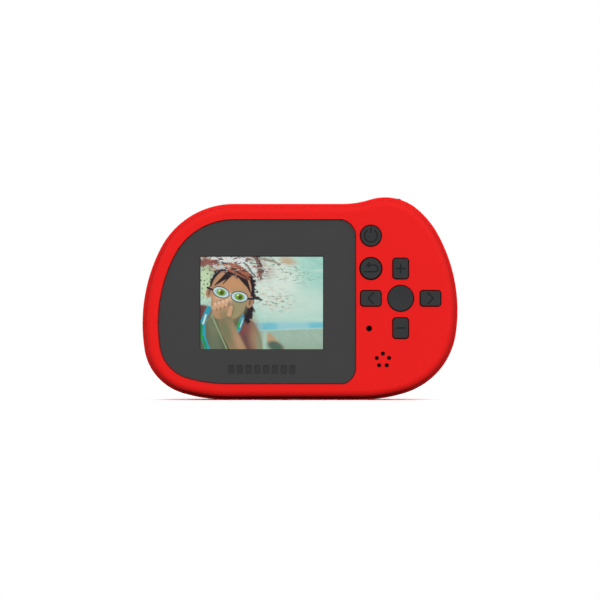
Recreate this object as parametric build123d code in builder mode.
"""A child's digital camera with a screen and keys on its back, a round lens on its front and a hump on top.

Frame: +Z up, +X to the right as the user sees the screen, +Y the way the lens looks.
The origin is on the tripod thread's axis, in the plane of the flat base. Everything is in millimetres.
"""

import os
from math import cos, radians, sin

from build123d import *

os.makedirs("parts", exist_ok=True)

# ---------------------------------------------------------------- driving dimensions
# Body outline, seen from the back: tangent arcs (radius, sweep in degrees)
# between a flat base and a flat top.
TOP_Z = 65.3
BASE_LEFT_X = -22.1
TOP_RIGHT_X = 16.0
LEFT_ARCS = [(53.7, -16.3), (18.1, -64.6), (55.1, -35.9)]
RIGHT_ARCS = [(30.3, 17.6), (16.7, -57.6), (29.3, -20.8), (52.7, -37.7), (24.4, -64.7)]

# Depth: the back face, the joint between the covers and the front face.
BACK_Y = -14.0
PARTING_Y = -6.0
FRONT_Y = 13.0
WALL = 2.0
SIDE_WALL = 2.8
REAR_STEP = 1.1
BACK_EDGE_RADIUS = 2.2
FRONT_EDGE_RADIUS = 6.0
LIP_RADIUS = 0.3
TONGUE_LENGTH = 1.4
TONGUE_INSET = 1.9
TONGUE_GAP = 0.1
BACK_INNER_Y = BACK_Y + WALL
FRONT_INNER_Y = FRONT_Y - WALL

# Screen: a 2.0 inch 4:3 panel, its window and the dark surround let into the back.
SCREEN_X, SCREEN_Z = -10.85, 32.25
VIEW_W, VIEW_H = 40.8, 30.8
MODULE_W, MODULE_H = 46.6, 35.0
PANEL_INSET = 5.2
PANEL_RIGHT_X = 20.55
PANEL_CORNER = 5.8
PANEL_HIGH_Z, PANEL_LOW_Z = 60.2, 4.95
PANEL_SINK = 0.9
PANEL_THICK = 0.8
PANEL_GAP = 0.2
PANEL_FLOOR_Y = BACK_Y + PANEL_SINK + PANEL_THICK
PAD_INNER_Y = -10.8
PAD_MARGIN = 0.6
BLOCK_ROW_Z, BLOCK_PITCH = 10.1, 2.9
BLOCK_WIDTH, BLOCK_HEIGHT, BLOCK_DEPTH = 2.1, 3.0, 0.3

# Depths of the display's layers, from the window in to the bracket.
WINDOW_Y = (-12.25, -11.45)
LCD_FRAME_Y = (-11.4, -8.6)
LCD_GLASS_Y = (-11.38, -10.3)
BACKLIGHT_Y = (-10.25, -8.85)
BRACKET_BACK_Y = -8.5

# Keys: a square grid round the OK key, with two round keys in its left column.
KEY_PITCH = 9.9
OK_X, OK_Z = 35.3, 33.8
LEFT_COLUMN_X = OK_X - KEY_PITCH
KEY_LONG, KEY_SHORT, KEY_CORNER = 6.65, 5.0, 0.9
KEY_PROUD = 0.7
KEY_GAP = 0.32
KEY_FLANGE = 0.7
KEY_FLANGE_THICK = 1.0
KEY_EDGE = 0.25
RETURN_GAP = 0.45
ICON_DEPTH = 0.35
ICON_LINE = 0.4
PLUNGER_TIP_Y = -10.0
PLUNGER_RADIUS = 1.75

# Main board and what stands on it.
BOARD_BACK_Y, BOARD_FRONT_Y = -2.7, -1.5
BOARD_INSET = 4.2
SWITCH_SIZE, SWITCH_HEIGHT = 6.0, 3.5

# Fasteners: (x, z) of the case screws and of the board screws.
CASE_SCREWS = [(-38.2, 50.4), (-37.0, 10.0), (40.0, 53.6), (41.2, 12.2)]
BOARD_SCREWS = [(-12.0, 58.5), (-14.0, 7.0), (46.5, 23.0)]
CASE_BOSS_RADIUS, BOARD_BOSS_RADIUS = 3.0, 2.2
CASE_SHANK_RADIUS, BOARD_SHANK_RADIUS = 1.05, 0.8
SCREW_SEAT_Y = 3.0
BOSS_TOP_Y = -0.1
BOSS_ROOT_Y = BACK_INNER_Y - 0.3

# Lens, flash and shutter.
LENS_X, LENS_Z = -6.0, 34.0
TURRET_RADIUS, TURRET_Y = 19.5, 16.0
LENS_BORE = 13.2
FLASH_X, FLASH_Z = 20.0, 51.0
STATUS_X = 30.0
SHUTTER_X, SHUTTER_Y = 30.8, 1.5
SHUTTER_TOP_Z, SHUTTER_DISH_Z, SHUTTER_SEAT_Z = 67.1, 66.0, 63.0

# Port door in the left side: a slab of the side wall on a pin along Y.
DOOR_HINGE_X, DOOR_HINGE_Z = -48.8, 16.2
DOOR_TOP_Z = 43.0
DOOR_BACK_Y, DOOR_FRONT_Y = -3.4, 4.6
DOOR_THICK = 2.0
DOOR_GAP = 0.25
HINGE_PIN_RADIUS = 0.6

# Speaker, microphone, strap slot and tripod thread.
SPEAKER_X, SPEAKER_Z, SPEAKER_RADIUS = 29.4, 13.3, 6.0
MIC_X, MIC_Z = 24.8, 23.8
STRAP_ANGLE = 119.0
STRAP_WIDTH = 2.2
TRIPOD_MINOR_RADIUS = 2.55
INSERT_RADIUS, INSERT_LOW_Z, INSERT_HIGH_Z = 3.8, 0.25, 8.0

CLEAR = 0.05


# ---------------------------------------------------------------- helpers
def back_plane(y):
    """The plane at y whose normal points to the back (-Y), with local axes along X and Z."""
    return Plane.XZ.offset(-y)


def rod(x, z, radius, low_y, high_y, mode=Mode.ADD):
    """A round bar or hole along Y."""
    with Locations((x, (low_y + high_y) / 2, z)):
        Cylinder(radius, high_y - low_y, rotation=(90, 0, 0), mode=mode)


def post(x, y, radius, low_z, high_z, mode=Mode.ADD):
    """A round bar or hole along Z."""
    with Locations((x, y, (low_z + high_z) / 2)):
        Cylinder(radius, high_z - low_z, mode=mode)


def block(xs, ys, zs, mode=Mode.ADD):
    """A box between pairs of coordinates."""
    centre = [(low + high) / 2 for low, high in (xs, ys, zs)]
    with Locations(tuple(centre)):
        Box(xs[1] - xs[0], ys[1] - ys[0], zs[1] - zs[0], mode=mode)


def span(centre, width):
    """The pair of coordinates that width covers about centre."""
    return (centre - width / 2, centre + width / 2)


def rings(builder, radius):
    """The circular edges of one radius, in order along Y."""
    circles = builder.edges().filter_by(GeomType.CIRCLE)
    return circles.filter_by(lambda e: abs(e.radius - radius) < 0.01).sort_by(Axis.Y)


def save(builder, name):
    """Labels a finished piece and writes its STEP file."""
    builder.part.label = name
    export_step(builder.part, f"parts/{name}.step")


def unit(angle):
    """The direction at an angle in degrees from +X."""
    return Vector(cos(radians(angle)), sin(radians(angle)))


def arc_chain(start, heading, arcs, turn, rise):
    """Draws tangent arcs from start, then one more that completes the whole
    turn and rise. Returns the last arc."""
    point, angle, climbed = start, heading, 0.0
    for radius, sweep in arcs:
        side = 1 if sweep > 0 else -1
        climbed += side * radius * (cos(radians(angle)) - cos(radians(angle + sweep)))
        point = JernArc(point, unit(angle), radius, sweep) @ 1
        angle += sweep
    sweep = heading + turn - angle
    radius = (rise - climbed) / -(cos(radians(angle)) - cos(radians(angle + sweep)))
    return JernArc(point, unit(angle), radius, sweep)


def body_outline(inset=0.0):
    """The camera's outline seen from the back, drawn in local X and Z and moved inwards by inset."""
    with BuildSketch() as outline:
        with BuildLine():
            left = arc_chain((BASE_LEFT_X, 0), 180, LEFT_ARCS, -180, TOP_Z)
            top = Line(left @ 1, (TOP_RIGHT_X, TOP_Z))
            right = arc_chain(top @ 1, 0, RIGHT_ARCS, -180, -TOP_Z)
            Line(right @ 1, (BASE_LEFT_X, 0))
        make_face()
        if inset:
            offset(amount=-inset)
    return outline.sketch


def panel_outline(gap=0.0):
    """The screen surround's outline: the body's own, cut straight on the right."""
    reach = 80
    with BuildSketch() as right_part:
        with Locations((PANEL_RIGHT_X - reach / 2, (PANEL_LOW_Z + PANEL_HIGH_Z) / 2)):
            RectangleRounded(reach, PANEL_HIGH_Z - PANEL_LOW_Z, PANEL_CORNER)
    with BuildSketch() as outline:
        add(body_outline(PANEL_INSET))
        add(right_part.sketch, mode=Mode.INTERSECT)
        if gap:
            offset(amount=-gap)
    return outline.sketch


OUTER = body_outline()
REAR_OUTER = body_outline(REAR_STEP)
INNER = body_outline(SIDE_WALL)

# ---------------------------------------------------------------- key layout
KEYS = {
    "power": (LEFT_COLUMN_X, 54.6, "round", 3.4),
    "return": (LEFT_COLUMN_X, OK_Z + KEY_PITCH, "round", 3.45),
    "up": (OK_X, OK_Z + KEY_PITCH, "tall", None),
    "down": (OK_X, OK_Z - KEY_PITCH, "tall", None),
    "left": (LEFT_COLUMN_X, OK_Z, "wide", None),
    "right": (OK_X + KEY_PITCH, OK_Z, "wide", None),
    "ok": (OK_X, OK_Z, "round", 4.2),
}


def key_shape(name, grow=0.0):
    """A key's outline at its place, grown on every side."""
    x, z, kind, radius = KEYS[name]
    width, height = (KEY_SHORT, KEY_LONG) if kind == "tall" else (KEY_LONG, KEY_SHORT)
    with BuildSketch() as shape:
        with Locations((x, z)):
            if kind == "round":
                Circle(radius + grow)
            else:
                RectangleRounded(width + 2 * grow, height + 2 * grow, KEY_CORNER + grow)
    return shape.sketch


def bar(x, z, length, angle=0.0):
    """One straight stroke of an icon, with round ends."""
    with Locations((x, z)):
        SlotOverall(length, ICON_LINE, rotation=angle)


def power_icon():
    """An open ring with a bar in its gap."""
    ring = 2.1
    gap = 70
    with BuildSketch() as icon:
        with BuildLine() as line:
            CenterArc((0, 0), ring, 90 + gap / 2, 360 - gap)
        SlotArc(line.edges()[0], ICON_LINE)
        bar(0, ring - 0.3, 2.0, 90)
    return icon.sketch


def return_icon():
    """An arrow that turns back to the left."""
    half, right, head = 1.1, 1.2, 1.3
    with BuildSketch() as icon:
        with Locations(((right - 2.1) / 2, -half)):
            SlotCenterToCenter(right + 2.1, ICON_LINE)
        with Locations(((right - head) / 2, half)):
            SlotCenterToCenter(right + head, ICON_LINE)
        with BuildLine() as line:
            CenterArc((right, 0), half, -90, 180)
        SlotArc(line.edges()[0], ICON_LINE)
        bar(0.35 - head, half + 0.35, 1.3, 45)
        bar(0.35 - head, half - 0.35, 1.3, -45)
    return icon.sketch


def sign_icon(upright):
    """A minus, or a plus when it has an upright bar."""
    with BuildSketch() as icon:
        bar(0, 0, 3.2)
        if upright:
            bar(0, 0, 3.2, 90)
    return icon.sketch


def chevron_icon(side):
    """An arrowhead that points left (-1) or right (1)."""
    with BuildSketch() as icon:
        bar(0, 0.95, 2.9, -45 * side)
        bar(0, -0.95, 2.9, 45 * side)
    return icon.sketch


ICONS = {
    "power": power_icon(),
    "return": return_icon(),
    "up": sign_icon(True),
    "down": sign_icon(False),
    "left": chevron_icon(-1),
    "right": chevron_icon(1),
}

# ---------------------------------------------------------------- covers
with BuildPart() as rear_cavity:
    with BuildSketch(back_plane(PARTING_Y + 1)):
        add(INNER)
    extrude(amount=PARTING_Y + 1 - BACK_INNER_Y)
    fillet(rear_cavity.faces().sort_by(Axis.Y)[0].edges(), 2.5)

with BuildPart() as rear_cover:
    with BuildSketch(back_plane(PARTING_Y)):
        add(REAR_OUTER)
    extrude(amount=PARTING_Y - BACK_Y)
    fillet(rear_cover.faces().sort_by(Axis.Y)[0].edges(), BACK_EDGE_RADIUS)
    add(rear_cavity.part, mode=Mode.SUBTRACT)
    # The tongue that enters the front cover.
    with BuildSketch(back_plane(PARTING_Y + TONGUE_LENGTH)):
        add(body_outline(TONGUE_INSET))
        add(INNER, mode=Mode.SUBTRACT)
    extrude(amount=TONGUE_LENGTH)
    # A pad behind the surround, then the recess for it and the screen's opening.
    with BuildSketch(back_plane(PAD_INNER_Y)):
        add(panel_outline(-PAD_MARGIN))
    extrude(amount=PAD_INNER_Y - PANEL_FLOOR_Y)
    with BuildSketch(back_plane(PANEL_FLOOR_Y)):
        add(panel_outline())
    extrude(amount=WALL, mode=Mode.SUBTRACT)
    opening = 0.4
    block(
        span(SCREEN_X, MODULE_W + 2 * opening),
        (BACK_Y, PAD_INNER_Y),
        span(SCREEN_Z, MODULE_H + 2 * opening),
        Mode.SUBTRACT,
    )
    # Bosses for the case screws and the board screws, with pilot holes.
    for x, z in CASE_SCREWS:
        rod(x, z, CASE_BOSS_RADIUS, BOSS_ROOT_Y, BOSS_TOP_Y)
        rod(x, z, CASE_SHANK_RADIUS + 0.02, BOSS_TOP_Y - 8.0, BOSS_TOP_Y, Mode.SUBTRACT)
    for x, z in BOARD_SCREWS:
        rod(x, z, BOARD_BOSS_RADIUS, BOSS_ROOT_Y, BOARD_BACK_Y)
        rod(x, z, BOARD_SHANK_RADIUS + 0.02, BOARD_BACK_Y - 5.0, BOARD_BACK_Y, Mode.SUBTRACT)
    # Above the tongue the bosses keep clear of the front cover's wall.
    with BuildSketch(back_plane(BOSS_TOP_Y)):
        add(OUTER)
        add(body_outline(SIDE_WALL + TONGUE_GAP), mode=Mode.SUBTRACT)
    extrude(amount=BOSS_TOP_Y - PARTING_Y - TONGUE_LENGTH, mode=Mode.SUBTRACT)
    # The speaker's collar and holes.
    rod(SPEAKER_X, SPEAKER_Z, SPEAKER_RADIUS + 0.9, BOSS_ROOT_Y, BACK_INNER_Y + 1.8)
    rod(SPEAKER_X, SPEAKER_Z, SPEAKER_RADIUS + 0.1, BACK_INNER_Y, BACK_INNER_Y + 1.8, Mode.SUBTRACT)
    with BuildSketch(back_plane(BACK_INNER_Y)):
        with Locations((SPEAKER_X, SPEAKER_Z)):
            with PolarLocations(2.15, 5, start_angle=90):
                Circle(0.7)
        with Locations((MIC_X, MIC_Z)):
            Circle(1.0)
        for key in KEYS:
            add(key_shape(key, RETURN_GAP if key == "return" else KEY_GAP))
    extrude(amount=WALL, mode=Mode.SUBTRACT)
save(rear_cover, "rear_cover")

# The strap slot is square to the outline where the upper left corner's arc has this angle.
with BuildLine() as outline_left:
    CORNER = arc_chain((BASE_LEFT_X, 0), 180, LEFT_ARCS, -180, TOP_Z)
strap_out = unit(STRAP_ANGLE)
strap_point = CORNER.arc_center + strap_out * CORNER.radius
STRAP_PLANE = Plane(
    origin=(strap_point.X, 0, strap_point.Y),
    x_dir=(strap_out.Y, 0, -strap_out.X),
    z_dir=(strap_out.X, 0, strap_out.Y),
)

with BuildPart() as front_cavity:
    with BuildSketch(back_plane(FRONT_INNER_Y)):
        add(INNER)
    extrude(amount=FRONT_INNER_Y - PARTING_Y + 1)
    fillet(front_cavity.faces().sort_by(Axis.Y)[-1].edges(), 3.5)

# The tongue's groove: everything inside it is free behind this depth.
GROOVE_Y = PARTING_Y + TONGUE_LENGTH + TONGUE_GAP
DOOR_RECESS_INSET = DOOR_THICK + TONGUE_GAP

with BuildPart() as front_cover:
    with BuildSketch(back_plane(FRONT_Y)):
        add(OUTER)
    extrude(amount=FRONT_Y - PARTING_Y)
    fillet(front_cover.faces().sort_by(Axis.Y)[-1].edges(), FRONT_EDGE_RADIUS)
    fillet(front_cover.faces().sort_by(Axis.Y)[0].edges(), LIP_RADIUS)
    # The lens turret, blended into the front face.
    rod(LENS_X, LENS_Z, TURRET_RADIUS, FRONT_Y - 1, TURRET_Y)
    fillet(rings(front_cover, TURRET_RADIUS)[-1], 1.4)
    fillet(rings(front_cover, TURRET_RADIUS)[0], 2.2)
    add(front_cavity.part, mode=Mode.SUBTRACT)
    # Columns, tripod boss, strap block and shutter guide grow from the walls.
    for x, z in CASE_SCREWS:
        rod(x, z, CASE_BOSS_RADIUS + 0.2, 0.0, FRONT_INNER_Y + 0.5)
    post(0, 0, INSERT_RADIUS + 1.6, 1.0, INSERT_HIGH_Z + 1.5)
    with Locations(STRAP_PLANE):
        with Locations((0, 1.0, -3.4)):
            Box(STRAP_WIDTH + 3.2, 9.0, 4.6)
    post(SHUTTER_X, SHUTTER_Y, 7.2, 63.0, SHUTTER_DISH_Z - 0.4)
    # Pegs for the flash board.
    for z in (FLASH_Z - 2.9, FLASH_Z + 2.9):
        rod((FLASH_X + STATUS_X) / 2, z, 1.5, 9.45, FRONT_INNER_Y + 0.5)
        rod((FLASH_X + STATUS_X) / 2, z, 0.8, 8.0, FRONT_INNER_Y + 0.5)
    with BuildSketch(back_plane(GROOVE_Y)):
        add(body_outline(TONGUE_INSET - TONGUE_GAP))
    extrude(amount=3, mode=Mode.SUBTRACT)
    # Screw holes with deep counterbores.
    for x, z in CASE_SCREWS:
        rod(x, z, 2.5, SCREW_SEAT_Y, FRONT_Y, Mode.SUBTRACT)
        rod(x, z, 1.3, 0.0, SCREW_SEAT_Y, Mode.SUBTRACT)
    # The lens bore, the flash window and the status light.
    rod(LENS_X, LENS_Z, LENS_BORE, FRONT_INNER_Y - 1, TURRET_Y, Mode.SUBTRACT)
    rod(FLASH_X, FLASH_Z, 3.7, FRONT_INNER_Y - 1, FRONT_Y, Mode.SUBTRACT)
    rod(STATUS_X, FLASH_Z, 1.05, FRONT_INNER_Y - 1, FRONT_Y, Mode.SUBTRACT)
    # The shutter button's dish and hole.
    post(SHUTTER_X, SHUTTER_Y, 6.0, SHUTTER_DISH_Z, 69.0, Mode.SUBTRACT)
    post(SHUTTER_X, SHUTTER_Y, 5.2, 60.0, 69.0, Mode.SUBTRACT)
    # The tripod insert's hole, and a shallow saddle across the base.
    post(0, 0, INSERT_RADIUS + 0.02, -1.0, INSERT_HIGH_Z, Mode.SUBTRACT)
    with BuildSketch(back_plane(FRONT_Y)):
        with BuildLine():
            ThreePointArc((-3.3, 0), (0, INSERT_LOW_Z), (3.3, 0))
            Line((3.3, 0), (-3.3, 0))
        make_face()
    extrude(amount=FRONT_Y - PARTING_Y, mode=Mode.SUBTRACT)
    # The port door's recess, its through opening and the room round its knuckle.
    with BuildSketch(back_plane(DOOR_FRONT_Y + DOOR_GAP)):
        with Locations((DOOR_HINGE_X, (DOOR_HINGE_Z + DOOR_TOP_Z + DOOR_GAP) / 2)):
            Rectangle(12, DOOR_TOP_Z + DOOR_GAP - DOOR_HINGE_Z)
        add(body_outline(DOOR_RECESS_INSET), mode=Mode.SUBTRACT)
        with Locations((DOOR_HINGE_X, DOOR_HINGE_Z)):
            Circle(1.9)
    extrude(amount=DOOR_FRONT_Y - DOOR_BACK_Y + 2 * DOOR_GAP, mode=Mode.SUBTRACT)
    block((-52, -44), (DOOR_BACK_Y + 0.6, DOOR_FRONT_Y - 0.6), (18.4, 42.2), Mode.SUBTRACT)
    pin_hole_y = (DOOR_BACK_Y - 1.1, DOOR_FRONT_Y + 1.5)
    rod(DOOR_HINGE_X, DOOR_HINGE_Z, HINGE_PIN_RADIUS + 0.01, *pin_hole_y, Mode.SUBTRACT)
    # The strap slot, its notch in the lip and the holes for its pin.
    with Locations(STRAP_PLANE):
        with Locations((0, 1.5, -1.5)):
            Box(STRAP_WIDTH, 6.0, 5.0, mode=Mode.SUBTRACT)
        with Locations((0, 5.0, -0.45)):
            Box(STRAP_WIDTH, 3.0, 1.1, mode=Mode.SUBTRACT)
        with Locations((0, 1.6, -1.7)):
            Cylinder(0.82, STRAP_WIDTH + 2.4, rotation=(0, 90, 0), mode=Mode.SUBTRACT)
save(front_cover, "front_cover")

# ---------------------------------------------------------------- screen
with BuildPart() as screen_surround:
    with BuildSketch(back_plane(PANEL_FLOOR_Y)):
        add(panel_outline(PANEL_GAP))
    extrude(amount=PANEL_THICK)
    fillet(screen_surround.faces().sort_by(Axis.Y)[0].edges(), 0.3)
    with BuildSketch(back_plane(PANEL_FLOOR_Y)):
        with Locations((SCREEN_X, SCREEN_Z)):
            RectangleRounded(VIEW_W, VIEW_H, 0.4)
    extrude(amount=PANEL_THICK, mode=Mode.SUBTRACT)
    window_edges = screen_surround.faces().sort_by(Axis.Y)[0].inner_wires()[0].edges()
    chamfer(window_edges, 0.35)
    # A plain row of sunk blocks under the screen.
    with BuildSketch(back_plane(PANEL_FLOOR_Y - PANEL_THICK + BLOCK_DEPTH)):
        with Locations((SCREEN_X, BLOCK_ROW_Z)):
            with GridLocations(BLOCK_PITCH, 0, 8, 1):
                RectangleRounded(BLOCK_WIDTH, BLOCK_HEIGHT, 0.5)
    extrude(amount=BLOCK_DEPTH, mode=Mode.SUBTRACT)
save(screen_surround, "screen_surround")

with BuildPart() as screen_window:
    block(span(SCREEN_X, MODULE_W + 0.2), WINDOW_Y, span(SCREEN_Z, MODULE_H + 0.2))
    fillet(screen_window.edges().filter_by(Axis.Y), 0.8)
save(screen_window, "screen_window")

with BuildPart() as lcd_frame:
    # A thin tray, open to the back, with a hole in its floor.
    sheet, floor_lip = 0.3, 2.5
    tray_y = (LCD_FRAME_Y[0], LCD_FRAME_Y[1] - 0.2)
    block(span(SCREEN_X, MODULE_W), LCD_FRAME_Y, span(SCREEN_Z, MODULE_H))
    tray_x = span(SCREEN_X, MODULE_W - 2 * sheet)
    tray_z = span(SCREEN_Z, MODULE_H - 2 * sheet)
    block(tray_x, tray_y, tray_z, Mode.SUBTRACT)
    hole_x = span(SCREEN_X, MODULE_W - 2 * floor_lip)
    hole_z = span(SCREEN_Z, MODULE_H - 2 * floor_lip)
    block(hole_x, LCD_FRAME_Y, hole_z, Mode.SUBTRACT)
save(lcd_frame, "lcd_frame")

with BuildPart() as lcd_glass:
    block(span(SCREEN_X, MODULE_W - 0.8), LCD_GLASS_Y, span(SCREEN_Z, MODULE_H - 0.8))
    chamfer(lcd_glass.edges().filter_by(Axis.Y), 0.3)
save(lcd_glass, "lcd_glass")

with BuildPart() as lcd_backlight:
    block(span(SCREEN_X, MODULE_W - 0.8), BACKLIGHT_Y, span(SCREEN_Z, MODULE_H - 0.8))
    chamfer(lcd_backlight.edges().filter_by(Axis.Y), 0.6)
save(lcd_backlight, "lcd_backlight")

FLEX_WIDTH, FLEX_THICK = 16.0, 0.3
BRACKET_W, BRACKET_H, BRACKET_WALL = 50.0, 38.5, 1.5
BRACKET_Y = (BRACKET_BACK_Y, BOARD_BACK_Y - 0.1)
with BuildPart() as lcd_bracket:
    block(span(SCREEN_X, BRACKET_W), BRACKET_Y, span(SCREEN_Z, BRACKET_H))
    fillet(lcd_bracket.edges().filter_by(Axis.Y), 1.5)
    block(
        span(SCREEN_X, BRACKET_W - 2 * BRACKET_WALL),
        (BRACKET_Y[0] + 1.2, BRACKET_Y[1]),
        span(SCREEN_Z, BRACKET_H - 2 * BRACKET_WALL),
        Mode.SUBTRACT,
    )
    # Two ribs, and a gap that lets the flex cable through at the bottom.
    for x in (SCREEN_X - 12, SCREEN_X + 12):
        block(span(x, 1.2), BRACKET_Y, span(SCREEN_Z, BRACKET_H - 1))
    block(span(SCREEN_X, FLEX_WIDTH + 2), BRACKET_Y, (SCREEN_Z - BRACKET_H / 2, 20.0), Mode.SUBTRACT)
    # Room for the case boss at the corner.
    rod(*CASE_SCREWS[0], CASE_BOSS_RADIUS + 0.4, *BRACKET_Y, Mode.SUBTRACT)
save(lcd_bracket, "lcd_bracket")

with BuildPart() as lcd_flex_cable:
    with BuildSketch(Plane.YZ.offset(SCREEN_X - FLEX_WIDTH / 2)):
        with BuildLine():
            FilletPolyline((-8.35, 19.0), (-8.35, 12.0), (-2.9, 12.0), (-2.9, 17.0), radius=1.2)
            offset(amount=FLEX_THICK / 2, side=Side.BOTH)
        make_face()
    extrude(amount=FLEX_WIDTH)
save(lcd_flex_cable, "lcd_flex_cable")

# ---------------------------------------------------------------- keys and their switches
for key, (key_x, key_z, kind, _) in KEYS.items():
    top_y = BACK_Y - KEY_PROUD
    flange_y = BACK_INNER_Y + 0.1
    with BuildPart() as button:
        with BuildSketch(back_plane(flange_y)):
            add(key_shape(key))
        extrude(amount=flange_y - top_y)
        fillet(button.faces().sort_by(Axis.Y)[0].edges(), KEY_EDGE)
        with BuildSketch(back_plane(flange_y + KEY_FLANGE_THICK)):
            add(key_shape(key, KEY_FLANGE))
        extrude(amount=KEY_FLANGE_THICK)
        rod(key_x, key_z, 1.5, flange_y, PLUNGER_TIP_Y - CLEAR)
        if key == "ok":
            # A thumb dish, cut by a sphere.
            dish = 24.0
            with Locations((key_x, top_y + 0.3 - dish, key_z)):
                Sphere(dish, mode=Mode.SUBTRACT)
        else:
            with BuildSketch(back_plane(top_y + ICON_DEPTH)):
                with Locations((key_x, key_z)):
                    add(ICONS[key])
            extrude(amount=ICON_DEPTH, mode=Mode.SUBTRACT)
    save(button, f"{key}_button")

    with BuildPart() as plunger:
        rod(key_x, key_z, PLUNGER_RADIUS, PLUNGER_TIP_Y, BOARD_BACK_Y - 2.3)
        fillet(plunger.edges().sort_by(Axis.Y)[0], 0.3)
    save(plunger, f"{key}_switch_plunger")

with BuildPart() as key_switches:
    for key_x, key_z, _, _ in KEYS.values():
        block(
            span(key_x, SWITCH_SIZE),
            (BOARD_BACK_Y - SWITCH_HEIGHT, BOARD_BACK_Y),
            span(key_z, SWITCH_SIZE),
        )
    fillet(key_switches.edges().filter_by(Axis.Y), 0.4)
    for key_x, key_z, _, _ in KEYS.values():
        rod(
            key_x,
            key_z,
            PLUNGER_RADIUS + CLEAR,
            BOARD_BACK_Y - SWITCH_HEIGHT,
            BOARD_BACK_Y - 1.5,
            Mode.SUBTRACT,
        )
save(key_switches, "key_switches")

# ---------------------------------------------------------------- shutter
with BuildPart() as shutter_button:
    post(SHUTTER_X, SHUTTER_Y, 5.0, SHUTTER_SEAT_Z - 0.5, SHUTTER_TOP_Z)
    fillet(shutter_button.edges().sort_by(Axis.Z)[-1], 0.8)
    # A thumb dish, cut by a sphere.
    with Locations((SHUTTER_X, SHUTTER_Y, SHUTTER_TOP_Z - 0.35 + 26.0)):
        Sphere(26.0, mode=Mode.SUBTRACT)
    post(SHUTTER_X, SHUTTER_Y, 6.0, SHUTTER_SEAT_Z - 1.1, SHUTTER_SEAT_Z - CLEAR)
    post(SHUTTER_X, SHUTTER_Y, 1.6, 58.6, SHUTTER_SEAT_Z - 1.0)
save(shutter_button, "shutter_button")

with BuildPart() as shutter_switch:
    block(span(SHUTTER_X, SWITCH_SIZE), (BOARD_FRONT_Y, BOARD_FRONT_Y + SWITCH_SIZE), (52.5, 56.0))
    fillet(shutter_switch.edges().filter_by(Axis.Z), 0.4)
    post(SHUTTER_X, SHUTTER_Y, PLUNGER_RADIUS + CLEAR, 53.6, 56.0, Mode.SUBTRACT)
save(shutter_switch, "shutter_switch")

with BuildPart() as shutter_switch_plunger:
    post(SHUTTER_X, SHUTTER_Y, PLUNGER_RADIUS, 54.4, 58.55)
    fillet(shutter_switch_plunger.edges().sort_by(Axis.Z)[-1], 0.3)
save(shutter_switch_plunger, "shutter_switch_plunger")

# ---------------------------------------------------------------- lens
LENS_AXIS_PLANE = Plane(origin=(LENS_X, 0, LENS_Z), x_dir=(1, 0, 0), z_dir=(0, 0, 1))


def turned(points):
    """Revolves a closed profile of (radius, y) points about the lens axis."""
    with BuildSketch(LENS_AXIS_PLANE) as profile:
        with BuildLine():
            Polyline(*points, close=True)
        make_face()
    revolve(profile.sketch, axis=Axis((LENS_X, 0, LENS_Z), (0, 1, 0)))


with BuildPart() as lens_ring:
    turned(
        [
            (12.6, 11.3),
            (13.1, 11.3),
            (13.1, 16.05),
            (17.2, 16.05),
            (17.2, 20.8),
            (13.4, 20.8),
            (11.8, 20.0),
            (11.8, 19.25),
            (12.6, 19.25),
        ]
    )
    fillet(rings(lens_ring, 17.2)[-1], 1.6)
    fillet(rings(lens_ring, 13.4), 0.6)
save(lens_ring, "lens_ring")

with BuildPart() as lens_window:
    rod(LENS_X, LENS_Z, 12.5, 18.05, 19.2)
save(lens_window, "lens_window")

with BuildPart() as lens_baffle:
    # The inside steps out towards the window.
    turned(
        [
            (7.4, 9.9),
            (15.0, 9.9),
            (15.0, 10.9),
            (12.5, 10.9),
            (12.5, 18.0),
            (11.7, 18.0),
            (11.7, 17.0),
            (10.8, 17.0),
            (10.8, 16.0),
            (9.9, 16.0),
            (9.9, 15.0),
            (9.0, 15.0),
            (9.0, 14.0),
            (8.2, 14.0),
            (8.2, 13.0),
            (7.4, 13.0),
        ]
    )
save(lens_baffle, "lens_baffle")

with BuildPart() as lens_barrel:
    turned(
        [
            (3.2, 4.0),
            (6.0, 4.0),
            (6.0, 11.3),
            (7.2, 11.3),
            (7.2, 13.5),
            (4.7, 13.5),
            (4.7, 11.0),
            (3.2, 11.0),
        ]
    )
    chamfer(rings(lens_barrel, 7.2)[-1], 0.4)
save(lens_barrel, "lens_barrel")

with BuildPart() as front_lens_element:
    dome = 9.0
    rod(LENS_X, LENS_Z, 4.65, 11.05, 13.4)
    with Locations((LENS_X, 13.4 - dome, LENS_Z)):
        Sphere(dome, mode=Mode.INTERSECT)
save(front_lens_element, "front_lens_element")

with BuildPart() as rear_lens_element:
    rod(LENS_X, LENS_Z, 3.15, 4.6, 6.6)
    with Locations((LENS_X, 6.6 - 6.0, LENS_Z)):
        Sphere(6.0, mode=Mode.INTERSECT)
save(rear_lens_element, "rear_lens_element")

with BuildPart() as lens_holder:
    block(span(LENS_X, 14), (BOARD_FRONT_Y, 3.0), span(LENS_Z, 14))
    fillet(lens_holder.edges().filter_by(Axis.Y), 1.2)
    rod(LENS_X, LENS_Z, 7.6, 3.0, 9.5)
    rod(LENS_X, LENS_Z, 6.05, 3.0, 9.5, Mode.SUBTRACT)
    rod(LENS_X, LENS_Z, 4.0, 2.0, 3.1, Mode.SUBTRACT)
    block(span(LENS_X, 10), (BOARD_FRONT_Y, 2.2), span(LENS_Z, 10), Mode.SUBTRACT)
save(lens_holder, "lens_holder")

with BuildPart() as ir_filter:
    rod(LENS_X, LENS_Z, 4.6, 3.05, 3.45)
save(ir_filter, "ir_filter")

with BuildPart() as image_sensor:
    block(span(LENS_X, 8), (BOARD_FRONT_Y, -0.5), span(LENS_Z, 8))
    block(span(LENS_X, 5.4), (-0.6, -0.5), span(LENS_Z, 4.2), Mode.SUBTRACT)
save(image_sensor, "image_sensor")

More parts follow.
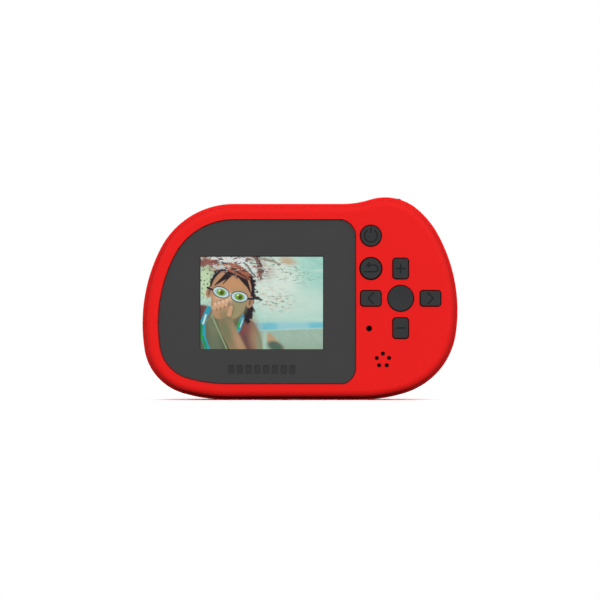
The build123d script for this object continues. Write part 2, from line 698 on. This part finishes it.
# ---------------------------------------------------------------- flash and status light
with BuildPart() as flash_window:
    rod(FLASH_X, FLASH_Z, 4.1, 10.0, 10.95)
    rod(FLASH_X, FLASH_Z, 3.6, 10.5, 13.3)
    fillet(flash_window.edges().sort_by(Axis.Y)[-1], 0.6)
save(flash_window, "flash_window")

with BuildPart() as status_light:
    rod(STATUS_X, FLASH_Z, 1.6, 10.0, 10.95)
    rod(STATUS_X, FLASH_Z, 1.0, 10.0, 13.3)
    fillet(status_light.edges().sort_by(Axis.Y)[-1], 0.5)
save(status_light, "status_light")

with BuildPart() as flash_board:
    block((FLASH_X - 4.8, STATUS_X + 3.2), (8.6, 9.4), span(FLASH_Z, 9.0))
    for z in (FLASH_Z - 2.9, FLASH_Z + 2.9):
        rod((FLASH_X + STATUS_X) / 2, z, 0.85, 8.6, 9.4, Mode.SUBTRACT)
save(flash_board, "flash_board")

with BuildPart() as flash_led:
    block(span(FLASH_X, 3.5), (9.4, 9.95), span(FLASH_Z, 3.5))
    rod(FLASH_X, FLASH_Z, 1.3, 9.85, 9.95, Mode.SUBTRACT)
save(flash_led, "flash_led")

# ---------------------------------------------------------------- board and its parts
with BuildPart() as main_board:
    with BuildSketch(back_plane(BOARD_FRONT_Y)):
        add(body_outline(BOARD_INSET))
        for x, z in CASE_SCREWS:
            with Locations((x, z)):
                Circle(CASE_BOSS_RADIUS + 0.8, mode=Mode.SUBTRACT)
        for x, z in BOARD_SCREWS:
            with Locations((x, z)):
                Circle(BOARD_SHANK_RADIUS + 0.25, mode=Mode.SUBTRACT)
        # Notches for the tripod boss, the shutter button and the strap block.
        with Locations((0, 5)):
            Rectangle(14, 11, mode=Mode.SUBTRACT)
        with Locations((SHUTTER_X + 7, 62)):
            Rectangle(28, 11, mode=Mode.SUBTRACT)
        with Locations((strap_point.X, strap_point.Y)):
            Circle(8.0, mode=Mode.SUBTRACT)
    extrude(amount=BOARD_FRONT_Y - BOARD_BACK_Y)
save(main_board, "main_board")

with BuildPart() as board_screws:
    for x, z in BOARD_SCREWS:
        rod(x, z, 1.7, BOARD_FRONT_Y, BOARD_FRONT_Y + 1.2)
        rod(x, z, BOARD_SHANK_RADIUS, BOARD_BACK_Y - 4.0, BOARD_FRONT_Y)
        block(span(x, 1.9), (BOARD_FRONT_Y + 0.7, BOARD_FRONT_Y + 1.2), span(z, 0.4), Mode.SUBTRACT)
        block(span(x, 0.4), (BOARD_FRONT_Y + 0.7, BOARD_FRONT_Y + 1.2), span(z, 1.9), Mode.SUBTRACT)
save(board_screws, "board_screws")

with BuildPart() as case_screws:
    for x, z in CASE_SCREWS:
        rod(x, z, 2.2, SCREW_SEAT_Y, SCREW_SEAT_Y + 1.6)
        rod(x, z, CASE_SHANK_RADIUS, BOSS_TOP_Y - 7.0, SCREW_SEAT_Y)
        block(span(x, 2.6), (SCREW_SEAT_Y + 0.8, SCREW_SEAT_Y + 1.6), span(z, 0.5), Mode.SUBTRACT)
        block(span(x, 0.5), (SCREW_SEAT_Y + 0.8, SCREW_SEAT_Y + 1.6), span(z, 2.6), Mode.SUBTRACT)
save(case_screws, "case_screws")

with BuildPart() as processor_chip:
    block(span(25, 12), (BOARD_FRONT_Y, BOARD_FRONT_Y + 1.2), span(28, 12))
    chamfer(processor_chip.faces().sort_by(Axis.Y)[-1].edges(), 0.3)
save(processor_chip, "processor_chip")

with BuildPart() as usb_socket:
    usb_z = 23.0
    block((-45.8, -40.2), (BOARD_FRONT_Y, 1.3), span(usb_z, 8.0))
    fillet(usb_socket.edges().filter_by(Axis.X).group_by(Axis.Y)[-1], 1.0)
    block((-45.8, -40.8), (BOARD_FRONT_Y + 0.4, 0.9), span(usb_z, 7.0), Mode.SUBTRACT)
    block((-45.0, -40.8), (-0.35, 0.15), span(usb_z, 5.0))
save(usb_socket, "usb_socket")

CARD_Z = 35.0
with BuildPart() as card_socket:
    block((-42.9, -27.6), (BOARD_FRONT_Y, 0.4), span(CARD_Z, 13.2))
    block((-42.9, -28.3), (-1.15, 0.15), span(CARD_Z, 11.4), Mode.SUBTRACT)
save(card_socket, "card_socket")

with BuildPart() as memory_card:
    block((-44.2, -29.2), (-0.95, -0.05), span(CARD_Z, 11.0))
    chamfer(memory_card.edges().filter_by(Axis.Y).group_by(Axis.X)[-1].sort_by(Axis.Z)[-1], 1.8)
    fillet(memory_card.edges().filter_by(Axis.Y).group_by(Axis.X)[0], 0.6)
save(memory_card, "memory_card")

with BuildPart() as speaker:
    rod(SPEAKER_X, SPEAKER_Z, SPEAKER_RADIUS, -11.8, -10.4)
    rod(SPEAKER_X, SPEAKER_Z, SPEAKER_RADIUS - 1.6, -10.5, -8.7)
save(speaker, "speaker")

with BuildPart() as speaker_mesh:
    rod(SPEAKER_X, SPEAKER_Z, SPEAKER_RADIUS - 0.1, BACK_INNER_Y + 0.02, BACK_INNER_Y + 0.16)
save(speaker_mesh, "speaker_mesh")

with BuildPart() as speaker_leads:
    for x in (SPEAKER_X - 1.2, SPEAKER_X + 1.2):
        rod(x, SPEAKER_Z, 0.45, -8.65, BOARD_BACK_Y - CLEAR)
save(speaker_leads, "speaker_leads")

with BuildPart() as microphone:
    rod(MIC_X, MIC_Z, 2.0, BACK_INNER_Y + CLEAR, BACK_INNER_Y + 1.6)
save(microphone, "microphone")

# ---------------------------------------------------------------- battery
BATTERY_X, BATTERY_Z = (10.5, 36.0), (8.0, 44.0)
with BuildPart() as battery:
    block(BATTERY_X, (3.8, 10.7), BATTERY_Z)
    fillet(battery.edges().filter_by(Axis.Z), 2.2)
    fillet(battery.edges().filter_by(Axis.X), 0.5)
save(battery, "battery")

with BuildPart() as battery_pad:
    block((16, 32), (10.75, 10.97), (10, 40))
save(battery_pad, "battery_pad")

PLUG_X, PLUG_Z = 12.5, 49.5
with BuildPart() as battery_plug:
    block(span(PLUG_X, 6.0), (BOARD_FRONT_Y, 3.0), span(PLUG_Z, 4.5))
    fillet(battery_plug.edges().filter_by(Axis.Y), 0.4)
save(battery_plug, "battery_plug")

with BuildPart() as battery_leads:
    for x in (PLUG_X + 0.6, PLUG_X + 2.4):
        with BuildLine() as lead:
            Spline(
                (x, 7.0, BATTERY_Z[1] + CLEAR),
                (x, 3.0 + CLEAR, PLUG_Z),
                tangents=[(0, 0, 1), (0, -1, 0)],
            )
        with BuildSketch(Plane(origin=lead.line @ 0, z_dir=lead.line % 0)):
            Circle(0.55)
        sweep(path=lead.line)
save(battery_leads, "battery_leads")

# ---------------------------------------------------------------- port door, strap pin and tripod insert
with BuildPart() as port_door:
    with BuildSketch(back_plane(DOOR_FRONT_Y)):
        with Locations((DOOR_HINGE_X, (DOOR_HINGE_Z + DOOR_TOP_Z) / 2)):
            Rectangle(12, DOOR_TOP_Z - DOOR_HINGE_Z)
        add(OUTER, mode=Mode.INTERSECT)
        add(body_outline(DOOR_THICK), mode=Mode.SUBTRACT)
        with Locations((DOOR_HINGE_X, DOOR_HINGE_Z)):
            Circle(1.15)
    extrude(amount=DOOR_FRONT_Y - DOOR_BACK_Y)
    # A fingernail scoop at the free end, and the hinge bore.
    with Locations((-49.6, (DOOR_BACK_Y + DOOR_FRONT_Y) / 2, DOOR_TOP_Z + 0.3)):
        Cylinder(1.3, 5.0, rotation=(90, 0, 0), mode=Mode.SUBTRACT)
    rod(DOOR_HINGE_X, DOOR_HINGE_Z, HINGE_PIN_RADIUS + CLEAR, DOOR_BACK_Y, DOOR_FRONT_Y, Mode.SUBTRACT)
save(port_door, "port_door")

with BuildPart() as door_hinge_pin:
    rod(DOOR_HINGE_X, DOOR_HINGE_Z, HINGE_PIN_RADIUS, DOOR_BACK_Y - 1.0, DOOR_FRONT_Y + 1.4)
save(door_hinge_pin, "door_hinge_pin")

with BuildPart() as strap_pin:
    with Locations(STRAP_PLANE):
        with Locations((0, 1.6, -1.7)):
            Cylinder(0.8, STRAP_WIDTH + 2.2, rotation=(0, 90, 0))
save(strap_pin, "strap_pin")

with BuildPart() as tripod_insert:
    post(0, 0, INSERT_RADIUS, INSERT_LOW_Z, INSERT_HIGH_Z - CLEAR)
    # Two grooves that the plastic grips.
    for z in (2.6, 5.4):
        with Locations((0, 0, z)):
            Torus(INSERT_RADIUS, 0.35, mode=Mode.SUBTRACT)
    post(0, 0, TRIPOD_MINOR_RADIUS, INSERT_LOW_Z, INSERT_HIGH_Z - 0.8, Mode.SUBTRACT)
save(tripod_insert, "tripod_insert")
